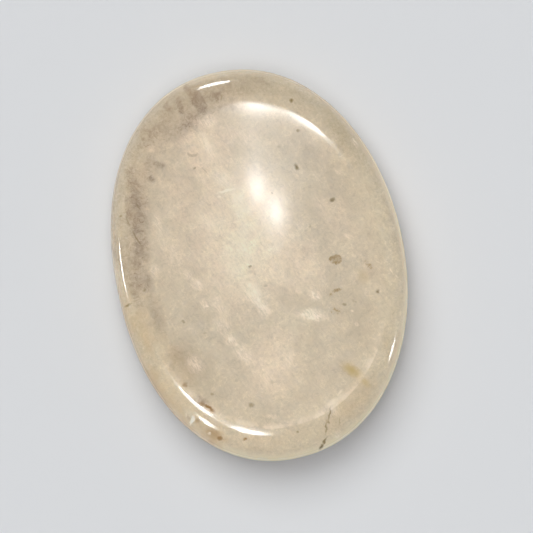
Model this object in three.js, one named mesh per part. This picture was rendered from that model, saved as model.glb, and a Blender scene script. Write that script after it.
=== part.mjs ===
// A palm stone: one oval of cloudy quartz, ground and polished by hand, with a thumb dish
// worn into its top and a small flat spot underneath that it rests on.
// Millimetres, +Z up. The origin is the middle of the flat spot, and the long axis is Y.
import * as THREE from "three";
import { mergeVertices } from "three/addons/utils/BufferGeometryUtils.js";

// Overall size of the stone
const LENGTH = 45;
const WIDTH = 33;
const THICKNESS = 7.5;

// Seen from above it is an oval, a little fuller than an ellipse, and the grinding has
// left it very slightly three-sided
const OVAL_POWER = 2.12;
const THREE_SIDED = 0.007;

// The thumb dish, from crest to crest of the rim around it. It was ground by eye, so it sits a
// little off the middle and is turned a little
const DISH_LENGTH = 38.1;
const DISH_WIDTH = 29;
const DISH_DEPTH = 1.8;
const DISH_POWER = 4 / 3;
const DISH_MIDDLE = new THREE.Vector2(-0.2, 0.4);
const DISH_TURN = THREE.MathUtils.degToRad(2.5);

// From its crest the rim falls away gently, and then rounds over to the widest line, half-way
// down the stone's side
const RIM_FALL = 0.22;
const RIM_POWER = 3.2;
const WIDEST_HEIGHT = 3.6;

// The underside is a low dome that ends in the flat spot
const FLAT_LENGTH = 13;
const FLAT_WIDTH = 9.5;
const UNDERSIDE_POWER = 2.3;

// How finely the surface is divided
const AROUND = 84;
const DISH_RINGS = 14;
const RIM_RINGS = 10;
const UNDERSIDE_RINGS = 9;
const WELD = 1e-3;

// Rings are numbered outwards along the profile: 0 on the axis, 1 at the dish's crest or at
// the flat spot's edge, and 2 at the widest line
const CREST = 1;
const WIDEST = 2;

// The distance from the axis to an oval of this length and width, in the direction of an angle
function ovalRadius(length, width, angle) {
  const across = Math.abs(Math.cos(angle)) / (width / 2);
  const along = Math.abs(Math.sin(angle)) / (length / 2);
  const oval = (across ** OVAL_POWER + along ** OVAL_POWER) ** (-1 / OVAL_POWER);
  return oval * (1 + THREE_SIDED * Math.cos(3 * angle));
}

// The two coordinates of a quarter of a rounded square, each from 0 to 1, spaced evenly where
// it starts out level
function roundedQuarter(share, power) {
  const turn = (share ** (power / 2) * Math.PI) / 2;
  return [Math.sin(turn) ** (2 / power), Math.cos(turn) ** (2 / power)];
}

// The stone's section from the middle of the dish to the middle of the flat spot, as points
// of ring number and height
function section() {
  const points = [];
  for (let i = 0; i < DISH_RINGS; i++) {
    const ring = Math.sin((i / DISH_RINGS) * (Math.PI / 2));
    const depth = DISH_DEPTH * (1 - ring ** 2) ** DISH_POWER;
    points.push(new THREE.Vector2(ring, THICKNESS - depth));
  }
  const rounding = THICKNESS - RIM_FALL - WIDEST_HEIGHT;
  for (let i = 0; i < RIM_RINGS; i++) {
    const [out, up] = roundedQuarter(i / RIM_RINGS, RIM_POWER);
    const height = WIDEST_HEIGHT + rounding * up + RIM_FALL * (1 - out);
    points.push(new THREE.Vector2(CREST + out, height));
  }
  points.push(new THREE.Vector2(WIDEST, WIDEST_HEIGHT));
  for (let i = UNDERSIDE_RINGS - 1; i >= 0; i--) {
    const [out, down] = roundedQuarter(i / UNDERSIDE_RINGS, UNDERSIDE_POWER);
    points.push(new THREE.Vector2(CREST + out, WIDEST_HEIGHT * (1 - down)));
  }
  points.push(new THREE.Vector2(0, 0));
  return points;
}

// The point of an oval in the direction of an angle
function ovalPoint(length, width, angle, turn = 0) {
  const way = new THREE.Vector2(Math.cos(angle), Math.sin(angle));
  return way.multiplyScalar(ovalRadius(length, width, angle - turn));
}

// Where a point of the surface lies, seen from above
function surfacePlace(ring, angle, isTop) {
  const middle = isTop ? DISH_MIDDLE : new THREE.Vector2();
  const inner = isTop
    ? ovalPoint(DISH_LENGTH, DISH_WIDTH, angle, DISH_TURN)
    : ovalPoint(FLAT_LENGTH, FLAT_WIDTH, angle);
  inner.add(middle);
  if (ring <= CREST) return middle.clone().lerp(inner, ring);
  return inner.lerp(ovalPoint(LENGTH, WIDTH, angle), ring - CREST);
}

// The section is turned round the axis, and each ring is then drawn out to its own oval
function stoneGeometry() {
  const turned = new THREE.LatheGeometry(section().reverse(), AROUND).rotateX(Math.PI / 2);
  const position = turned.getAttribute("position");
  for (let i = 0; i < position.count; i++) {
    const x = position.getX(i);
    const y = position.getY(i);
    const isTop = position.getZ(i) > WIDEST_HEIGHT;
    const place = surfacePlace(Math.hypot(x, y), Math.atan2(y, x), isTop);
    position.setXY(i, place.x, place.y);
  }
  turned.deleteAttribute("normal");
  turned.deleteAttribute("uv");
  const geometry = mergeVertices(turned, WELD);
  geometry.computeBoundingBox();
  const middle = geometry.boundingBox.getCenter(new THREE.Vector3());
  geometry.translate(-middle.x, -middle.y, 0);
  geometry.computeVertexNormals();
  return geometry;
}

function cloudyQuartz() {
  return new THREE.MeshStandardMaterial({
    color: new THREE.Color(0.81, 0.75, 0.66),
    roughness: 0.12,
    metalness: 0,
  });
}

const stone = new THREE.Mesh(stoneGeometry(), cloudyQuartz());
stone.name = "palm_stone";

const group = new THREE.Group();
group.add(stone);

export default group;
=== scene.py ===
"""A palm stone of cloudy quartz with a thumb dish in its top, on a pale table under studio lamps.

Lengths are in metres in the stone's own frame, and MM turns millimetres into them. The origin is the
middle of the flat spot that the stone rests on, +Z is up and the long axis is Y. The stone's markings
are placed by pixels of the photo, and under_pixel turns those into places on the stone.
"""

import math
from collections import namedtuple

import bmesh
import bpy
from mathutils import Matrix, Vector, noise


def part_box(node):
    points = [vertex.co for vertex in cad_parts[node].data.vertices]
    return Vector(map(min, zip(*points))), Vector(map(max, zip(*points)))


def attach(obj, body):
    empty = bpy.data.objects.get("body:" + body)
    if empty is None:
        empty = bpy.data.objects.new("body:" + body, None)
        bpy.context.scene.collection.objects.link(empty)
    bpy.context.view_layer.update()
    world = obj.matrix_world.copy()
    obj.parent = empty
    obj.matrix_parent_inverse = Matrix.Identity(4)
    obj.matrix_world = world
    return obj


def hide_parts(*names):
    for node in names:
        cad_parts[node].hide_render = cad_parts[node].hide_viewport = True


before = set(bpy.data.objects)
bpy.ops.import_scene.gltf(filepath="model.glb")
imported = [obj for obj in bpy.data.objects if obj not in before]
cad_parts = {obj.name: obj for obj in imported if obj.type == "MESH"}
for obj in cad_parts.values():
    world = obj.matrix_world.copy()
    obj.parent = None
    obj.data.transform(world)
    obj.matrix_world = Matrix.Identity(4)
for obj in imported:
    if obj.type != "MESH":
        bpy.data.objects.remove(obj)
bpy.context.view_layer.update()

MM = 0.001

# The stone's overall size, from its solid
STONE_LOW, STONE_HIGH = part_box("palm_stone")
WIDTH, LENGTH, THICKNESS = STONE_HIGH - STONE_LOW

# Seen from above it is an oval, a little fuller than an ellipse and very slightly three-sided
OVAL_POWER = 2.12
THREE_SIDED = 0.007

# The thumb dish, from crest to crest. It sits a little off the middle and is turned a little
DISH_LENGTH = 38.1 * MM
DISH_WIDTH = 29.0 * MM
DISH_DEPTH = 1.8 * MM
DISH_POWER = 4 / 3
DISH_MIDDLE = Vector((-0.2, 0.4)) * MM
DISH_TURN = math.radians(2.5)

# From the crest the rim falls away gently at first and then rounds over to the widest line
RIM_FALL = 0.22 * MM
RIM_POWER = 3.2
WIDEST_HEIGHT = 3.6 * MM

# The underside is a low dome that ends in the flat spot
FLAT_LENGTH = 13 * MM
FLAT_WIDTH = 9.5 * MM
UNDERSIDE_POWER = 2.3

# Rings are numbered outwards along the section: 0 on the axis, 1 at the dish's crest or at the
# flat spot's edge, and 2 at the widest line
CREST = 1

# How finely the surface is divided
AROUND = 288
DISH_RINGS = 56
RIM_RINGS = 40
UNDERSIDE_RINGS = 32
FLAT_RINGS = 6

# Points closer than WELD are one point, and heights closer than LEVEL are one height
WELD = 1e-6
LEVEL = 1e-9

# How far the hand-held stone wandered from its true form on the polishing wheel
POLISH_SWING = 0.003 * MM
POLISH_SPAN = 5 * MM


def oval_radius(length, width, angle):
    """The distance from the middle of an oval of this length and width to its edge, at an angle."""
    across = abs(math.cos(angle)) / (width / 2)
    along = abs(math.sin(angle)) / (length / 2)
    oval = (across**OVAL_POWER + along**OVAL_POWER) ** (-1 / OVAL_POWER)
    return oval * (1 + THREE_SIDED * math.cos(3 * angle))


def rounded_quarter(share, power):
    """Both coordinates of a quarter of a rounded square, spaced evenly where it starts level."""
    turn = share ** (power / 2) * math.pi / 2
    return math.sin(turn) ** (2 / power), max(math.cos(turn), 0) ** (2 / power)


def section_points():
    """The section from the middle of the dish to the middle of the flat spot, as ring and height."""
    points = []
    for i in range(DISH_RINGS):
        ring = math.sin(i / DISH_RINGS * math.pi / 2)
        points.append((ring, THICKNESS - DISH_DEPTH * (1 - ring**2) ** DISH_POWER))
    rounding = THICKNESS - RIM_FALL - WIDEST_HEIGHT
    for i in range(RIM_RINGS + 1):
        out, up = rounded_quarter(i / RIM_RINGS, RIM_POWER)
        points.append((CREST + out, WIDEST_HEIGHT + rounding * up + RIM_FALL * (1 - out)))
    for i in reversed(range(UNDERSIDE_RINGS)):
        out, down = rounded_quarter(i / UNDERSIDE_RINGS, UNDERSIDE_POWER)
        points.append((CREST + out, WIDEST_HEIGHT * (1 - down)))
    for i in reversed(range(FLAT_RINGS)):
        points.append((i / FLAT_RINGS, 0))
    return points


def surface_place(ring, angle, is_top):
    """Where a point of a ring lies, seen from above, and how far outside the dish's crest that is."""
    way = Vector((math.cos(angle), math.sin(angle)))
    middle = DISH_MIDDLE if is_top else Vector((0, 0))
    if is_top:
        inner = middle + way * oval_radius(DISH_LENGTH, DISH_WIDTH, angle - DISH_TURN)
    else:
        inner = way * oval_radius(FLAT_LENGTH, FLAT_WIDTH, angle)
    if ring <= CREST:
        place = middle.lerp(inner, ring)
    else:
        place = inner.lerp(way * oval_radius(LENGTH, WIDTH, angle), ring - CREST)
    return place, (place - middle).length - (inner - middle).length


def hand_polish(place):
    """The slight rise or fall that polishing by hand left at a point of the surface."""
    return POLISH_SWING * noise.noise(place / POLISH_SPAN) * place.z / THICKNESS


def spun(section, steps):
    """Points of a section, as distance out and height, spun round the upright axis."""
    bm = bmesh.new()
    points = [bm.verts.new((out, 0, height)) for out, height in section]
    for start, end in zip(points, points[1:]):
        bm.edges.new((start, end))
    bmesh.ops.spin(
        bm,
        geom=bm.verts[:] + bm.edges[:],
        cent=(0, 0, 0),
        axis=(0, 0, 1),
        angle=2 * math.pi,
        steps=steps,
        use_merge=True,
    )
    bmesh.ops.remove_doubles(bm, verts=bm.verts, dist=WELD)
    return bm


def as_mesh(bm, name):
    """A mesh of this surface, with its faces turned outward."""
    bmesh.ops.recalc_face_normals(bm, faces=bm.faces)
    mesh = bpy.data.meshes.new(name)
    bm.to_mesh(mesh)
    bm.free()
    return mesh


def stone_mesh():
    """The section is spun round the axis, and each ring is then drawn out to its own oval."""
    bm = spun(section_points(), AROUND)
    from_crest = bm.verts.layers.float.new("from_crest")
    for vertex in bm.verts:
        ring, angle = vertex.co.xy.length, math.atan2(vertex.co.y, vertex.co.x)
        is_top = vertex.co.z > WIDEST_HEIGHT + LEVEL
        place, outside = surface_place(ring, angle, is_top)
        vertex.co.xy = place
        vertex[from_crest] = outside / MM if is_top else WIDTH / MM
    middle = (max(v.co.x for v in bm.verts) + min(v.co.x for v in bm.verts)) / 2
    bmesh.ops.translate(bm, verts=bm.verts, vec=(-middle, 0, 0))
    for vertex in bm.verts:
        vertex.co.z += hand_polish(vertex.co)
    for face in bm.faces:
        face.smooth = True
    return as_mesh(bm, "palm_stone_surface")


class Value:
    """A socket that a node gives out. Arithmetic on it adds Math nodes."""

    def __init__(self, shader, socket):
        self.shader = shader
        self.socket = socket

    def math(self, operation, first, second):
        return self.shader.node("ShaderNodeMath", {"operation": operation}, {0: first, 1: second})

    def __add__(self, other):
        return self.math("ADD", self, other)

    __radd__ = __add__

    def __sub__(self, other):
        return self.math("SUBTRACT", self, other)

    def __rsub__(self, other):
        return self.math("SUBTRACT", other, self)

    def __mul__(self, other):
        return self.math("MULTIPLY", self, other)

    __rmul__ = __mul__

    def at_least(self, other):
        return self.math("MAXIMUM", self, other)


# A Mix node's sockets for colours go by number, because they share their names with others
MIX_FACTOR, MIX_FIRST, MIX_SECOND = 0, 6, 7
MIXED_COLOUR = 2


class Shader:
    """One material's nodes, around its main surface shader."""

    def __init__(self, name):
        self.material = bpy.data.materials.new(name)
        self.material.use_nodes = True
        self.nodes = self.material.node_tree.nodes
        self.links = self.material.node_tree.links
        self.surface = self.nodes["Principled BSDF"]

    def plug(self, socket, value):
        """Links a value to a socket, or sets the socket to a plain number, colour or vector."""
        if isinstance(value, Value):
            self.links.new(value.socket, socket)
        else:
            socket.default_value = value

    def node(self, kind, settings=None, sockets=None, output=0):
        """Adds a node: first its settings, then the values or links of its sockets."""
        node = self.nodes.new(kind)
        for name, setting in (settings or {}).items():
            setattr(node, name, setting)
        for name, value in (sockets or {}).items():
            self.plug(node.inputs[name], value)
        return Value(self, node.outputs[output])

    def finish(self, **sockets):
        """Plugs the main shader's sockets, named with _ for each space."""
        for name, value in sockets.items():
            self.plug(self.surface.inputs[name.replace("_", " ")], value)
        return self.material

    def place(self):
        """The point of the surface in the stone's own frame, in millimetres."""
        metres = self.node("ShaderNodeTexCoord", output="Object")
        return self.scaled(metres, 1 / MM)

    def attribute(self, name):
        """A number that the mesh carries at each of its points."""
        return self.node("ShaderNodeAttribute", {"attribute_name": name}, output="Fac")

    def scaled(self, vector, factor):
        """A vector or a colour, times a number."""
        return self.node("ShaderNodeVectorMath", {"operation": "SCALE"}, {0: vector, "Scale": factor})

    def added(self, first, second):
        """The sum of two vectors."""
        return self.node("ShaderNodeVectorMath", {"operation": "ADD"}, {0: first, 1: second})

    def along(self, place, way):
        """How far a place lies along a way."""
        settings = {"operation": "DOT_PRODUCT"}
        return self.node("ShaderNodeVectorMath", settings, {0: place, 1: way}, "Value")

    def inward(self, framed):
        """From 0 at a frame's edge, and beyond it, to 1 at its middle."""
        return self.node("ShaderNodeTexGradient", {"gradient_type": "SPHERICAL"}, {"Vector": framed}, "Fac")

    def clouds(self, place, size, detail=3, roughness=0.55):
        """Soft random patches of about this size, from 0 to 1 and mostly near the middle."""
        sockets = {"Vector": place, "Scale": 1 / size, "Detail": detail, "Roughness": roughness}
        return self.node("ShaderNodeTexNoise", None, sockets, "Fac")

    def wandering(self, place, size, reach, detail):
        """The place, moved about by roughly this reach, so that what is drawn there is ragged."""
        sockets = {"Vector": place, "Scale": 1 / size, "Detail": detail}
        drift = self.node("ShaderNodeTexNoise", None, sockets, "Color")
        centred = self.added(drift, (-0.5, -0.5, -0.5))
        return self.added(place, self.scaled(centred, 2 * reach))

    def framed(self, place, middle, size, turn):
        """The place in a frame with its own middle and turn, whose size is 1 from middle to edge."""
        sockets = {
            "Vector": place,
            "Location": middle,
            "Rotation": (0, 0, math.radians(turn)),
            "Scale": [edge / 2 for edge in size],
        }
        return self.node("ShaderNodeMapping", {"vector_type": "TEXTURE"}, sockets)

    def step(self, value, low, high):
        """Rises smoothly from 0 at low to 1 at high, or falls where high is below low."""
        sockets = {"Value": value, "From Min": low, "From Max": high}
        return self.node("ShaderNodeMapRange", {"interpolation_type": "SMOOTHSTEP"}, sockets)

    def mixed(self, factor, first, second):
        """The first colour where the factor is 0 and the second where it is 1."""
        settings = {"data_type": "RGBA", "clamp_factor": True}
        sockets = {MIX_FACTOR: factor, MIX_FIRST: first, MIX_SECOND: second}
        return self.node("ShaderNodeMix", settings, sockets, MIXED_COLOUR)


# The photo's frame, which is the rendered picture's too: its side, the stone's middle and the stone's
# length in pixels, and how many degrees the stone's long axis leans to the left at the top
PICTURE_SIDE = 533
STONE_MIDDLE_PIXEL = (260, 264.5)
STONE_LENGTH_PIXELS = 394
LEAN = 12
PIXEL = LENGTH / STONE_LENGTH_PIXELS


def towards(clock):
    """The way across the stone that points to this angle of the picture, clockwise from its top."""
    angle = math.radians(90 - clock - LEAN)
    return Vector((math.cos(angle), math.sin(angle), 0))


def under_pixel(x, y):
    """The place on the stone, seen from above, that a pixel of the photo shows."""
    right = x - STONE_MIDDLE_PIXEL[0]
    down = y - STONE_MIDDLE_PIXEL[1]
    return (towards(90) * right + towards(180) * down) * PIXEL


def tenths(length):
    """A length in millimetres, to a tenth, because the photo's pixels are no finer."""
    return round(length / MM, 1)


# A marking as it is given on the photo: the pixel of its middle, its length and width in pixels,
# the turn of its length from the picture's right, clockwise in degrees, and how strong it is
Mark = namedtuple("Mark", "x y length width turn strength")

# Broad parts of the stone that are paler than the rest, partly a painted glow round the dish's highlight,
# and parts that are darker, partly painted shade
PALE_AND_GLOWING = [
    Mark(335, 222, 80, 50, 75, 0.18),
    Mark(242, 240, 210, 160, 76, 1),
    Mark(208, 155, 110, 80, 65, 0.6),
    Mark(272, 362, 110, 80, 100, 0.5),
    Mark(300, 265, 90, 70, 60, 0.5),
    Mark(182, 200, 110, 60, 80, 0.35),
    Mark(246, 444, 120, 34, 6, 0.25),
]
DIM_AND_SHADED = [
    Mark(140, 335, 110, 46, 72, 0.75),
    Mark(342, 185, 110, 60, 62, 0.4),
    Mark(302, 152, 90, 44, 38, 0.5),
    Mark(195, 368, 130, 60, 50, 1),
    Mark(362, 322, 130, 56, 78, 0.55),
    Mark(384, 338, 70, 36, 80, 0.45),
    Mark(345, 135, 120, 48, 54, 0.85),
    Mark(250, 88, 130, 30, 0, 0.35),
    Mark(150, 330, 120, 34, 72, 0.4),
    Mark(355, 395, 90, 50, -50, 0.25),
    Mark(152, 300, 60, 26, 75, 0.6),
    Mark(158, 322, 90, 26, 68, 0.85),
    Mark(180, 360, 80, 28, 56, 0.75),
    Mark(262, 77, 170, 18, 2, 0.6),
    Mark(124, 318, 120, 52, 75, 0.5),
]

# Milky veils and feathery patches
VEILS = [
    Mark(207, 123, 34, 20, -20, 0.8),
    Mark(185, 138, 26, 18, -40, 0.55),
    Mark(208, 148, 46, 17, 66, 0.8),
    Mark(224, 178, 34, 20, 20, 0.85),
    Mark(238, 204, 40, 20, 72, 0.9),
    Mark(151, 149, 24, 12, 10, 0.5),
    Mark(210, 223, 34, 24, 40, 0.7),
    Mark(243, 247, 34, 20, 60, 0.7),
    Mark(232, 266, 30, 18, 60, 0.75),
    Mark(173, 255, 90, 38, 75, 0.35),
    Mark(158, 228, 46, 16, 88, 0.5),
    Mark(156, 271, 22, 13, 90, 0.5),
    Mark(188, 275, 22, 14, 45, 0.6),
    Mark(197, 284, 24, 15, 45, 0.85),
    Mark(206, 305, 18, 11, 48, 0.8),
    Mark(219, 308, 44, 18, 50, 0.55),
    Mark(216, 298, 18, 12, 30, 0.45),
    Mark(253, 293, 40, 24, 60, 1.5),
    Mark(263, 308, 30, 18, 56, 1.05),
    Mark(276, 235, 40, 30, 60, 0.4),
    Mark(311, 315, 42, 20, 4, 1.15),
    Mark(315, 295, 22, 16, 30, 0.9),
    Mark(299, 290, 14, 8, 30, 0.5),
    Mark(284, 280, 34, 20, 30, 0.35),
    Mark(231, 340, 22, 14, 30, 0.85),
    Mark(244, 355, 46, 22, 50, 0.65),
    Mark(288, 360, 36, 24, 100, 0.55),
    Mark(264, 378, 50, 26, 50, 0.45),
    Mark(194, 364, 34, 22, 50, 0.6),
    Mark(222, 326, 40, 22, 50, 0.45),
    Mark(273, 417, 20, 7, 10, 0.5),
    Mark(356, 324, 9, 5, 20, 0.6),
    Mark(351, 311, 9, 5, 30, 0.6),
    Mark(354, 143, 18, 8, 50, 0.45),
    Mark(348, 236, 16, 9, 20, 0.6),
    Mark(338, 172, 14, 8, 30, 0.5),
    Mark(320, 205, 44, 24, 60, 0.25),
    Mark(240, 136, 60, 34, 20, 0.35),
    Mark(338, 436, 20, 9, 110, 0.5),
    Mark(336, 411, 16, 9, 60, 0.5),
    Mark(188, 415, 16, 12, 60, 0.4),
]

# Smoky streaks and haze, mostly along one side and one end. Along the side they are also painted shade on
# the dish's inner wall
SMOKE_AND_SHADE = [
    Mark(198, 101, 50, 23, 64, 1.8),
    Mark(190, 94, 32, 16, 60, 1.2),
    Mark(181, 108, 40, 16, 80, 1.1),
    Mark(168, 108, 28, 20, 60, 0.8),
    Mark(188, 122, 90, 46, -40, 0.75),
    Mark(215, 98, 52, 27, -14, 1.0),
    Mark(150, 137, 90, 48, -55, 0.75),
    Mark(132, 171, 28, 15, 80, 0.8),
    Mark(158, 165, 28, 17, 30, 0.8),
    Mark(152, 180, 18, 12, -20, 0.95),
    Mark(138, 200, 70, 36, 85, 1.0),
    Mark(139, 222, 66, 36, 90, 1.0),
    Mark(142, 248, 64, 30, 85, 0.75),
    Mark(146.1, 281.9, 60, 26, 80, 0.6),
    Mark(157, 316, 66, 24, 68, 0.5),
    Mark(178, 356, 66, 24, 58, 0.45),
    Mark(131, 180, 64, 28, 80, 0.95),
    Mark(148, 168, 48, 32, 60, 0.6),
    Mark(130, 212, 84, 22, 88, 0.9),
    Mark(129, 242, 70, 18, 88, 0.6),
    Mark(203, 403, 46, 18, 35, 0.75),
    Mark(252, 272, 20, 13, 30, 0.4),
    Mark(286, 291, 26, 11, 30, 0.3),
    Mark(310, 150, 36, 26, 50, 0.35),
    Mark(262, 83, 36, 13, 10, 0.45),
    Mark(244, 86, 30, 12, 0, 0.35),
    Mark(300, 96, 40, 12, 25, 0.35),
    Mark(367, 233, 30, 20, 60, 0.35),
    Mark(373, 275, 30, 22, 60, 0.35),
    Mark(213, 431, 24, 11, 30, 0.5),
]

# Grey-brown specks, most of them tiny pits that hold old polish
SPECKS = [
    Mark(291, 101, 7, 6.5, 60, 1),
    Mark(298, 131, 5, 4.5, 0, 0.85),
    Mark(296.5, 168, 10, 6, 62, 1.15),
    Mark(332.5, 199.7, 8, 6, -30, 1),
    Mark(195, 168, 5, 4.5, 0, 0.7),
    Mark(121, 216, 4.5, 4, 0, 0.7),
    Mark(250, 267, 4.5, 4, 0, 0.8),
    Mark(145, 290, 6, 5, -40, 0.65),
    Mark(184, 322, 5, 4, 0, 0.6),
    Mark(266, 286, 5, 4.5, 0, 0.3),
    Mark(377, 291.5, 7, 6, -70, 0.9),
    Mark(344, 304, 6, 5, 0, 0.7),
    Mark(251, 405, 9, 7, 20, 0.6),
    Mark(297, 431, 5, 4, 0, 0.7),
    Mark(129, 305, 11, 4, -20, 0.85),
    Mark(212, 394, 6, 5, 0, 0.45),
    Mark(321.5, 447, 8, 6, -60, 1),
    Mark(279, 147, 7, 6, 0, 0.3),
    Mark(272, 194, 3.5, 3, 0, 0.6),
    Mark(272, 381, 8, 6, 0, 0.3),
    Mark(205, 333, 4.5, 4, 0, 0.35),
    Mark(310, 226, 4, 4, 0, 0.35),
    Mark(328.5, 422, 5, 4, 90, 0.6),
]

# Brown stains, and ochre ones
STAINS = [
    Mark(335.5, 259.5, 18, 15, 0, 1.2),
    Mark(336.5, 290.5, 18, 9, -5, 0.45),
    Mark(331, 294, 9, 8, 0, 0.3),
    Mark(327, 422, 44, 10, 97, 0.3),
    Mark(336, 310, 20, 12, 10, 0.4),
    Mark(368, 265, 26, 10, 60, 0.35),
]
OCHRE = [
    Mark(351, 370, 36, 18, 35, 1.2),
    Mark(365, 382, 18, 11, 50, 0.7),
    Mark(363, 276, 24, 18, 60, 0.35),
]

# Bright flecks, and painted glints where healed cracks and a small facet catch the light
FLECKS_AND_GLINTS = [
    Mark(226.5, 191.3, 26, 4.4, -15, 1.2),
    Mark(220, 197, 6, 5, 0, 0.9),
    Mark(207, 306, 5, 4.5, 0, 0.9),
    Mark(210, 433, 5, 4.5, 0, 0.8),
    Mark(180, 386, 11, 6, 50, 0.7),
    Mark(245, 250, 6, 5, 0, 0.7),
    Mark(199, 283, 8, 4, 40, 0.8),
    Mark(250, 285, 8, 4.5, 75, 0.8),
    Mark(255, 292, 8, 4, 45, 0.9),
    Mark(252, 296, 6, 3, 60, 0.6),
    Mark(259, 300, 9, 4.5, 66, 0.9),
    Mark(264, 306, 8, 3.4, 48, 0.7),
    Mark(257, 304, 6, 3, 40, 0.6),
    Mark(230, 339, 8, 4, 30, 0.8),
    Mark(237, 344, 7, 3.5, 40, 0.7),
    Mark(228, 150.1, 4, 4, 0, 0.4),
    Mark(313, 293, 7, 3.4, 20, 0.8),
    Mark(318, 297, 6, 3.2, 30, 0.8),
    Mark(304, 314, 10, 4, 8, 0.7),
    Mark(312, 318, 14, 4, 5, 0.8),
    Mark(355, 141, 9, 2.6, 50, 0.4),
    Mark(340, 392, 12, 3.4, -50, 0.5),
    Mark(192.3, 419.5, 15, 4.6, 113, 1.4),
    Mark(186.5, 414, 8, 3, 100, 0.5),
    Mark(332, 401, 26, 8, -36, 0.5),
    Mark(391, 271, 12, 2, 55, 0.5),
    Mark(396, 276, 10, 1.8, 65, 0.4),
    Mark(378, 262, 11, 1.8, 30, 0.35),
    Mark(331, 208, 9, 1.8, 20, 0.3),
]

# Broad parts of the rim that are honey-coloured
HONEYED = [
    Mark(186, 430, 60, 36, 48, 0.6),
    Mark(212, 436, 46, 26, 20, 1.1),
    Mark(177, 360, 90, 40, 56, 0.35),
    Mark(147, 338, 90, 36, 72, 0.5),
    Mark(160, 390, 120, 44, 54, 0.9),
    Mark(125, 318, 110, 50, 75, 0.6),
    Mark(205, 428, 60, 24, 26, 0.5),
    Mark(262, 446, 110, 26, 4, 0.12),
    Mark(350, 405, 100, 34, -50, 0.3),
]

# Small rusty stains
RUST = [
    Mark(209, 407, 24, 6, 36, 1.1),
    Mark(203, 403, 10, 7, 30, 0.7),
    Mark(186, 384, 9, 8, 50, 0.7),
    Mark(197, 420, 9, 8, 0, 0.45),
    Mark(220, 437.5, 8, 6, 0, 0.9),
    Mark(245.3, 438.3, 6, 5.5, 0, 1),
    Mark(214, 434, 24, 12, 30, 0.3),
    Mark(189, 416.9, 14, 6, 60, 0.25),
]

# Fine dark cracks, and a small chip under the surface whose far side has healed
CRACKS = [
    Mark(329, 414, 22, 2.6, 99, 0.8),
    Mark(326.5, 428, 18, 2.4, 92, 0.65),
    Mark(324.5, 441, 15, 3.2, 114, 0.95),
    Mark(322, 446, 6, 4, 114, 0.8),
    Mark(340, 420, 12, 2.4, 100, 0.4),
    Mark(205, 171, 18, 2.6, 50, 0.35),
    Mark(137, 239, 26, 2.6, 55, 0.7),
    Mark(129, 222, 16, 2.4, 70, 0.45),
    Mark(138, 206, 16, 2.4, 60, 0.4),
    Mark(222, 98, 12, 2.4, 100, 0.4),
    Mark(354, 301, 14, 2.6, 30, 0.25),
]
CHIP = [
    Mark(193, 154.5, 13, 8, 3, 1),
]
CHIP_HEALED = [
    Mark(193, 152, 13, 8, 3, 1),
]

# The quartz and what is in it, as they reflect light
BLACK = (0, 0, 0, 1)
QUARTZ = (0.69, 0.592, 0.452, 1)
# The pale heart's colour, partly a painted glow round the dish's highlight
HEART_AND_GLOW = (0.955, 0.777, 0.606, 1)
SHADE = (0.56, 0.475, 0.348, 1)
MILK = (0.988, 0.828, 0.671, 1)
WARM_MILK = (1, 0.806, 0.636, 1)
PEARL = (1, 0.858, 0.7, 1)
# The smoky haze's colour, which along one side is also painted shade
SMOKY_SHADE = (0.355, 0.275, 0.2, 1)
OLD_POLISH = (0.24, 0.178, 0.075, 1)
BROWN = (0.42, 0.305, 0.16, 1)
RUSTY = (0.33, 0.19, 0.07, 1)
AMBER = (0.58, 0.405, 0.2, 1)
TAWNY = (0.59, 0.412, 0.228, 1)
YELLOW_OCHRE = (0.56, 0.42, 0.18, 1)
# A painted glow: the honey-coloured paleness of the edge, where light passes through it
EDGE_GLOW = (0.97, 0.79, 0.56, 1)

# The way that the veils' fibres run, from X towards Y in degrees
FIBRE_TURN = -67

# The top's own markings fade out over this distance above and below the widest line
TOP_FADE = 0.3

# Ways across the stone, seen from above. The rim's painted shade is deepest at its far end, the smoke lies
# along one side and round the corner with painted shade on the dish's wall, and the edge's painted glow, a
# honey tint, is strongest across from them
LONG_AXIS = (0, 1, 0)
TO_FAR_END = (0.2, 0.98, 0)
TO_SMOKY_SHADED_SIDE = (-0.78, 0.62, 0)
TO_SMOKY_CORNER = (-0.6, 0.8, 0)
TO_GLOWING_EDGE = (0.74, -0.67, 0)

# Heights at which the edge's painted glow, a honey tint, and its duller polish start, and at which they are
# full
EDGE_GLOW_STARTS = 7.1
EDGE_GLOW_FULL = 5.8
DULL_STARTS = 6.4
DULL_FULL = 5.4

# How rough the bright polish of the rim is, and how much rougher the rest is. Thumbs have worn the
# dish to a satin, which has a thin gloss of its own
POLISHED = 0.08
WORN_MORE = 0.14
SPECK_MORE = 0.1
EDGE_MORE = 0.45
GLOSS = 0.5
GLOSS_ROUGHNESS = 0.13
REFRACTION = 1.54

# The relief of the polish's fine grain, what wear adds to it, and how deep the specks' pits are
GRAIN_RELIEF = 0.0001
WORN_RELIEF = 0.002
PIT_DEPTH = 0.004

# How far light spreads inside the quartz, and the share of it for red, green and blue
LIGHT_REACH = 8 * MM
LIGHT_SHARES = (1, 0.85, 0.65)


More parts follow.
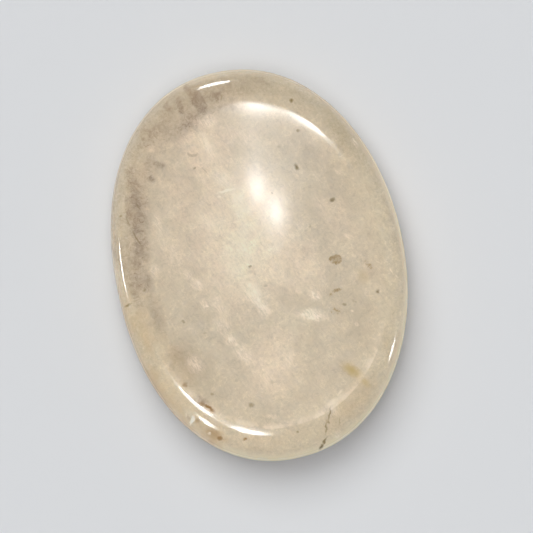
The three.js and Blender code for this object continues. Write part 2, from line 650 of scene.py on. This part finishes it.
class Quartz(Shader):
    """The stone's shader, with the places that its markings are drawn at."""

    def __init__(self):
        super().__init__("cloudy_quartz")
        self.here = self.place()
        self.ragged = self.wandering(self.here, size=1.6, reach=1.4, detail=5)
        self.gentle = self.wandering(self.here, size=1.4, reach=0.45, detail=3)
        self.frayed = self.wandering(self.here, size=0.7, reach=0.3, detail=3)
        self.height = self.node("ShaderNodeSeparateXYZ", None, {0: self.here}, "Z")
        widest = WIDEST_HEIGHT / MM
        self.top = self.step(self.height, widest - TOP_FADE, widest + TOP_FADE)
        self.from_crest = self.attribute("from_crest")
        self.mottle = self.clouds(self.ragged, size=1.8, detail=5, roughness=0.6)
        self.grain = self.clouds(self.here, size=0.35, detail=3, roughness=0.8)
        self.veiled = self.marks(self.gentle, VEILS, soft=0.8)
        self.pale_and_glow = self.marks(self.ragged, PALE_AND_GLOWING, soft=0.8)

    def marks(self, place, shapes, soft):
        """How strongly these marks show at a place; soft is the share of each that fades out."""
        strongest = None
        for mark in shapes:
            x, y, _ = under_pixel(mark.x, mark.y)
            size = (tenths(mark.length * PIXEL), tenths(mark.width * PIXEL), LENGTH / MM)
            framed = self.framed(place, (tenths(x), tenths(y), 0), size, -LEAN - mark.turn)
            here = self.step(self.inward(framed), 0, soft) * mark.strength
            strongest = here if strongest is None else strongest.at_least(here)
        return strongest

    def fibrous(self, place, length, width):
        """The place, drawn out so that a pattern there runs along the fibres."""
        return self.framed(place, (0, 0, 0), (2 * length, 2 * width, 2 * length), FIBRE_TURN)

    def past_crest(self, start, end):
        """From 0 to 1 between two distances outside the dish's crest, in millimetres."""
        return self.step(self.from_crest, start, end)

    def beyond(self, way, start, end):
        """From 0 to 1 between two distances from the middle along a way, in millimetres."""
        return self.step(self.along(self.here, way), start, end)

    def hairs(self, size, thickness):
        """Fine lines that wander and close on themselves, like the edges of healed cracks."""
        across = self.clouds(self.ragged, size, detail=3) - 0.5
        return self.step(across * across, thickness, 0)

    def body(self):
        """The faintly honey-coloured quartz, with its pale heart, partly a painted glow round the dish's
        highlight, and its dim parts, partly painted shade.
        """
        # The dim parts are partly painted shade, most of all round the far end of the rim and dish.
        dim_and_shaded = self.marks(self.ragged, DIM_AND_SHADED, soft=0.9)
        colour = self.mixed(dim_and_shaded, self.mixed(self.pale_and_glow, QUARTZ, HEART_AND_GLOW), SHADE)
        clouds = self.clouds(self.ragged, size=6, detail=2)
        streaked = self.fibrous(self.here, length=0.9, width=0.28)
        streaks = self.clouds(streaked, size=1, detail=4, roughness=0.7)
        clustered = self.step(self.mottle, 0.42, 0.62)
        outside = self.past_crest(-1, 1)
        texture = 0.22 * (clouds - 0.5) + 0.22 * (self.mottle - 0.5)
        lively = 0.2 + 0.25 * clustered + 0.3 * self.veiled + 0.12 * self.pale_and_glow + 0.2 * outside
        fine = (0.24 + 0.3 * self.pale_and_glow) * (streaks - 0.5) + lively * (self.grain - 0.5)
        pale_hairs = self.hairs(size=1.1, thickness=0.0008) * (0.3 + 0.7 * clustered)
        dark_hairs = self.hairs(size=1.7, thickness=0.0006) * (1 - clustered)
        return self.scaled(colour, 1 + texture + fine + 0.1 * pale_hairs - 0.08 * dark_hairs)

    def rim(self):
        """How much the rim is dimmed by painted shade, most of all at its far end."""
        far = self.along(self.here, TO_FAR_END)
        return self.past_crest(-1.4, 2.0) * (0.08 + 0.0078 * far) * self.top

    def tinted(self):
        """The body with its rim dimmed by painted shade, an amber tint on the rim, and a honey-coloured
        edge, a painted glow of light passing through it.
        """
        # The rim is mixed towards black here: painted shade.
        colour = self.mixed(1 - self.rim(), BLACK, self.body())
        # The edge's honey tint is a painted glow of light passing through it, strongest across from the
        # smoky side.
        glowing = self.beyond(TO_GLOWING_EDGE, -5, 12)
        edge = self.step(self.height, EDGE_GLOW_STARTS, EDGE_GLOW_FULL) * self.past_crest(0, 0.3)
        amber = 0.06 - 0.002 * self.along(self.here, TO_FAR_END)
        colour = self.mixed(amber * self.past_crest(-1, 1.5) * self.top, colour, AMBER)
        return self.mixed((0.3 + 0.7 * glowing) * edge, colour, EDGE_GLOW)

    def veils(self):
        """Milky veils of fine fibres."""
        fibres = self.fibrous(self.gentle, length=0.8, width=0.16)
        strokes = self.clouds(fibres, size=1, detail=4, roughness=0.75)
        return self.veiled * (0.25 + 1.3 * self.step(strokes, 0.38, 0.66))

    def smoky_shaded_band(self):
        """The smoky band along the side of the dish's crest, which thins out round the corner. On the
        dish's inner wall it is also painted shade.
        """
        drift = self.clouds(self.ragged, size=2.2, detail=4, roughness=0.6)
        inner = self.from_crest + 2.4 * (drift - 0.5)
        corner = self.beyond(TO_SMOKY_CORNER, 9, 17)
        outer = self.from_crest + 1.2 * (drift - 0.5) - 2 * corner
        band = self.step(inner, -3, -1.2) * self.step(outer, 0.9, 0.1) * (1 - 0.35 * corner)
        return band * self.beyond(TO_SMOKY_SHADED_SIDE, 7.5, 12)

    def smoky_haze_and_shade(self):
        """The smoky band, partly painted shade, and smoky streaks and haze by it, all of them in billows
        and curls.
        """
        field = (0.6 * self.smoky_shaded_band()).at_least(self.marks(self.gentle, SMOKE_AND_SHADE, soft=0.9))
        billows = self.clouds(self.ragged, size=1.1, detail=6, roughness=0.75)
        smoky_haze_and_shade = self.step(field * (0.65 + 0.75 * self.step(billows, 0.34, 0.66)), 0, 1)
        curls = self.clouds(self.ragged, size=0.5, detail=3, roughness=0.7)
        smoky_haze_and_shade = smoky_haze_and_shade * (0.82 + 0.36 * self.step(curls, 0.36, 0.64))
        return (smoky_haze_and_shade + 0.5 * self.hairs(size=0.9, thickness=0.0006) * smoky_haze_and_shade) * self.top

    def flecks(self):
        """Tiny bright strokes, closest together in the veils."""
        sockets = {"Vector": self.fibrous(self.frayed, length=0.5, width=0.22), "Scale": 1}
        cells = self.node("ShaderNodeTexVoronoi", None, sockets, "Distance")
        crowded = self.step(self.veiled + 0.8 * (self.mottle - 0.5), 0.1, 0.6)
        return self.step(cells, 0.35, 0.1) * crowded

    def crest_glint(self):
        """A painted highlight: a broken pale line along the near end of the dish's crest, where the crest
        catches light.
        """
        crest = self.past_crest(-0.9, -0.1) * self.past_crest(0.15, 0)
        near = self.beyond(LONG_AXIS, -7, -14) * self.step(self.mottle, 0.35, 0.6)
        return crest * near

    def clouded(self, colour):
        """This colour under the veils, the smoky haze with its painted shade, the flecks and the crest's
        painted highlight.
        """
        milk = self.mixed(self.pale_and_glow, MILK, WARM_MILK)
        colour = self.mixed(0.9 * self.veils(), colour, milk)
        # Smoky haze, which on the dish's wall along one side is also painted shade
        colour = self.mixed(0.72 * self.smoky_haze_and_shade(), colour, SMOKY_SHADE)
        colour = self.mixed(0.55 * self.flecks(), colour, PEARL)
        # The crest's painted highlight, in milky white
        return self.mixed(0.5 * self.crest_glint(), colour, MILK)

    def stains(self):
        """Brown stains with mottled edges."""
        shapes = self.marks(self.frayed, STAINS, soft=0.9)
        spread = self.step(shapes + 0.8 * (self.grain - 0.5), 0.1, 0.5)
        return spread * (0.6 + 0.6 * self.step(self.grain, 0.4, 0.6)) * self.top

    def stained(self, colour):
        """This colour under the honeyed parts, the stains and the rust."""
        honeyed = self.marks(self.ragged, HONEYED, soft=0.9)
        colour = self.mixed(0.7 * honeyed, colour, TAWNY)
        ochre = self.marks(self.frayed, OCHRE, soft=0.9)
        colour = self.mixed(0.8 * ochre, colour, YELLOW_OCHRE)
        colour = self.mixed(0.88 * self.stains(), colour, BROWN)
        rust = self.marks(self.frayed, RUST, soft=0.7) * self.top
        return self.mixed(0.9 * rust, colour, RUSTY)

    def cracks(self):
        """Fine dark cracks, and the edge of the small chip that hasn't healed."""
        healed = self.marks(self.here, CHIP_HEALED, soft=0.3)
        chip = self.marks(self.here, CHIP, soft=0.3) * (1 - healed)
        return self.marks(self.frayed, CRACKS, soft=0.8).at_least(0.28 * chip) * self.top

    def colour(self, specks):
        """The quartz with everything that lies in it, one thing over another."""
        colour = self.stained(self.clouded(self.tinted()))
        colour = self.mixed(self.cracks(), colour, OLD_POLISH)
        # Bright flecks, and painted glints of light caught by cracks
        glints = self.marks(self.frayed, FLECKS_AND_GLINTS, soft=0.7) * self.top
        colour = self.mixed(glints, colour, PEARL)
        return self.mixed(specks, colour, OLD_POLISH)


def cloudy_quartz():
    """Milky, faintly honey-coloured quartz, polished, with veils, smoky haze, specks and stains in it, and
    with painted shade, a painted glow and painted highlights.
    """
    stone = Quartz()
    specks = stone.marks(stone.frayed, SPECKS, soft=0.8) * stone.top
    worn = stone.past_crest(0.2, -2.6)
    edge = stone.step(stone.height, DULL_STARTS, DULL_FULL) * stone.past_crest(0, 0.3)
    relief = (GRAIN_RELIEF + WORN_RELIEF * worn) * stone.grain - PIT_DEPTH * specks
    bump = stone.node("ShaderNodeBump", None, {"Strength": 1, "Distance": MM, "Height": relief})
    return stone.finish(
        Base_Color=stone.colour(specks),
        Roughness=POLISHED + WORN_MORE * worn + SPECK_MORE * specks + EDGE_MORE * edge,
        Normal=bump,
        IOR=REFRACTION,
        Coat_Weight=GLOSS * worn,
        Coat_Roughness=GLOSS_ROUGHNESS,
        Coat_IOR=REFRACTION,
        Subsurface_Weight=1,
        Subsurface_Radius=LIGHT_SHARES,
        Subsurface_Scale=LIGHT_REACH,
    )


def palm_stone():
    """The stone's one piece, in place of its solid."""
    stone = bpy.data.objects.new("cloudy_palm_stone", stone_mesh())
    bpy.context.scene.collection.objects.link(stone)
    stone.data.materials.append(cloudy_quartz())
    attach(stone, "root")
    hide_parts("palm_stone")


# The table is a pale round sweep: level where the stone lies, and turned up far behind it
TABLE_RADIUS = 1.3
SWEEP_RADIUS = 0.5
SWEEP_STEPS = 12
TABLE_AROUND = 96
PALE_GREY = (0.722, 0.729, 0.745, 1)
MATT = 0.8
TABLE_REFRACTION = 1.2


def table_section():
    """The table from its middle to the top of the sweep, as distance out and height."""
    points = [(0, 0), (TABLE_RADIUS, 0)]
    for i in range(1, SWEEP_STEPS + 1):
        turn = i / SWEEP_STEPS * math.pi / 2
        out = TABLE_RADIUS + SWEEP_RADIUS * math.sin(turn)
        points.append((out, SWEEP_RADIUS * (1 - math.cos(turn))))
    return points


def table():
    """A plain, pale, matt table."""
    mesh = as_mesh(spun(table_section(), TABLE_AROUND), "table_surface")
    shader = Shader("pale_table")
    fibres = shader.clouds(shader.place(), size=0.8)
    matt_grey = shader.finish(
        Base_Color=PALE_GREY,
        Roughness=MATT + 0.1 * fibres,
        IOR=TABLE_REFRACTION,
    )
    mesh.materials.append(matt_grey)
    sweep = bpy.data.objects.new("table", mesh)
    bpy.context.scene.collection.objects.link(sweep)


# The camera's long lens and its sensor, in millimetres, and how far it sees, in metres
LENS = 500
SENSOR = 36
CAMERA_REACH = 10


def camera():
    """A long lens straight above, so that the stone fills the picture as in the photo."""
    distance = PICTURE_SIDE * PIXEL * LENS / SENSOR
    data = bpy.data.cameras.new("overhead")
    data.lens, data.sensor_width = LENS, SENSOR
    data.clip_end = CAMERA_REACH
    eye = bpy.data.objects.new("overhead", data)
    eye.location = under_pixel(PICTURE_SIDE / 2, PICTURE_SIDE / 2)
    eye.location.z = WIDEST_HEIGHT + distance
    eye.rotation_euler.z = -math.radians(LEAN)
    bpy.context.scene.collection.objects.link(eye)
    bpy.context.scene.camera = eye


# The room's even light
ROOM_COLOUR = (0.93, 0.98, 1.06, 1)
ROOM_STRENGTH = 0.24

# Every light stands this far from the stone, at an angle of the picture, clockwise from its top,
# and at a tilt from overhead. So a lamp's width and height are in radians as well as in metres
LAMP_DISTANCE = 1.0
Sun = namedtuple("Sun", "name clock tilt spread energy colour")
SUNS = [
    Sun("soft_key", 339, 31, 44, 1.74, (1.0, 0.995, 0.965)),
    Sun("overhead_light", 200, 6, 30, 0.7, (1, 1, 1)),
]
Lamp = namedtuple("Lamp", "name clock tilt width height radiance")
LAMPS = [
    Lamp("near_lamp", 189.5, 11.4, 0.058, 0.058, 35),
    Lamp("side_lamp", 218, 10.6, 0.056, 0.06, 34),
    Lamp("far_strip", 346.8, 52, 0.2, 0.32, 20),
    Lamp("left_strip", 262, 54, 0.15, 0.26, 24),
    Lamp("right_strip", 107, 67, 0.11, 0.26, 24),
    Lamp("corner_strip", 212, 28, 0.06, 0.24, 24),
]


def stand(light, name, clock, tilt):
    """Stands a light at a tilt from overhead, towards an angle of the picture, facing the stone."""
    holder = bpy.data.objects.new(name, light)
    up = Vector((0, 0, math.cos(math.radians(tilt))))
    holder.location = (up + towards(clock) * math.sin(math.radians(tilt))) * LAMP_DISTANCE
    holder.rotation_euler = holder.location.to_track_quat("Z", "Y").to_euler()
    holder.visible_camera = False
    bpy.context.scene.collection.objects.link(holder)
    return holder


def glint(name, clock, tilt, width, height, radiance):
    """A small lamp that only glints in the polish."""
    light = bpy.data.lights.new(name, "AREA")
    light.shape = "ELLIPSE"
    light.size, light.size_y = width, height
    light.energy = radiance * math.pi * (math.pi / 4 * width * height)
    stand(light, name, clock, tilt).visible_diffuse = False


def soft_sun(name, clock, tilt, spread, energy, colour):
    """A wide soft light, with its spread in degrees, that the polish doesn't mirror."""
    light = bpy.data.lights.new(name, "SUN")
    light.angle = math.radians(spread)
    light.energy = energy
    light.color = colour
    stand(light, name, clock, tilt).visible_glossy = False


def room():
    """The room's even light, and its colours shown as they are."""
    world = bpy.data.worlds.new("room")
    world.use_nodes = True
    background = world.node_tree.nodes["Background"]
    background.inputs["Color"].default_value = ROOM_COLOUR
    background.inputs["Strength"].default_value = ROOM_STRENGTH
    bpy.context.scene.world = world
    bpy.context.scene.view_settings.view_transform = "Standard"


def lights():
    """The room, two wide soft lights that shade the stone, and the lamps that glint in it."""
    room()
    for sun in SUNS:
        soft_sun(*sun)
    for lamp in LAMPS:
        glint(*lamp)


palm_stone()
table()
camera()
lights()
